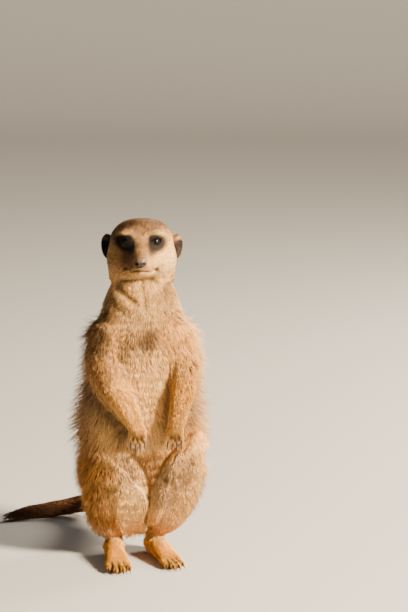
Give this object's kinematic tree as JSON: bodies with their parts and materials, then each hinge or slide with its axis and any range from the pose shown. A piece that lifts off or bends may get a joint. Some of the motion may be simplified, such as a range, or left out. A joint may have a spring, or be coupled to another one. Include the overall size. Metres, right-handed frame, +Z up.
{
  "type": "meerkat",
  "caption": "Life-size still model of a meerkat sitting upright on its hind feet, arms hanging before its belly, tail laid back on the floor.",
  "frame": {"origin": "on the floor, under the middle of the whole model's box", "axes": "+Z up; the animal looks along -Y; +X is its own left side"},
  "size_m": [0.1808, 0.1892, 0.2855],
  "materials": {
    "coat_head": "short grizzled tan fur",
    "coat_chest": "short pale tan fur",
    "coat_belly": "brown-tan fur, shaggy on flanks and back",
    "coat_arm": "short golden fur",
    "coat_leg": "long orange-brown fur",
    "coat_foot": "very short golden fur",
    "coat_tail": "dark red-brown fur",
    "coat_tail_tip": "black-brown fur",
    "ear_fur": "short black fur",
    "eyeball": "wet, near black",
    "nose_leather": "damp dark brown leather",
    "claw_horn": "smooth dark horn"
  },
  "bodies": {
    "root": {"head": "coat_head", "nose": "nose_leather", "neck": "coat_chest", "chest": "coat_chest", "belly": "coat_belly", "tail_root": "coat_tail", "tail_middle": "coat_tail", "tail_tip": "coat_tail_tip", "ear_left": "ear_fur", "eye_left": "eyeball", "arm_left_upper": "coat_arm", "arm_left_lower": "coat_arm", "hand_left": "coat_foot", "thigh_left": "coat_leg", "shank_left": "coat_leg", "foot_left": "coat_foot", "claw_front_left_1": "claw_horn", "claw_front_left_2": "claw_horn", "claw_front_left_3": "claw_horn", "claw_front_left_4": "claw_horn", "claw_hind_left_1": "claw_horn", "claw_hind_left_2": "claw_horn", "claw_hind_left_3": "claw_horn", "claw_hind_left_4": "claw_horn", "ear_right": "ear_fur", "eye_right": "eyeball", "arm_right_upper": "coat_arm", "arm_right_lower": "coat_arm", "hand_right": "coat_foot", "thigh_right": "coat_leg", "shank_right": "coat_leg", "foot_right": "coat_foot", "claw_front_right_1": "claw_horn", "claw_front_right_2": "claw_horn", "claw_front_right_3": "claw_horn", "claw_front_right_4": "claw_horn", "claw_hind_right_1": "claw_horn", "claw_hind_right_2": "claw_horn", "claw_hind_right_3": "claw_horn", "claw_hind_right_4": "claw_horn"}
  },
  "joints": []
}
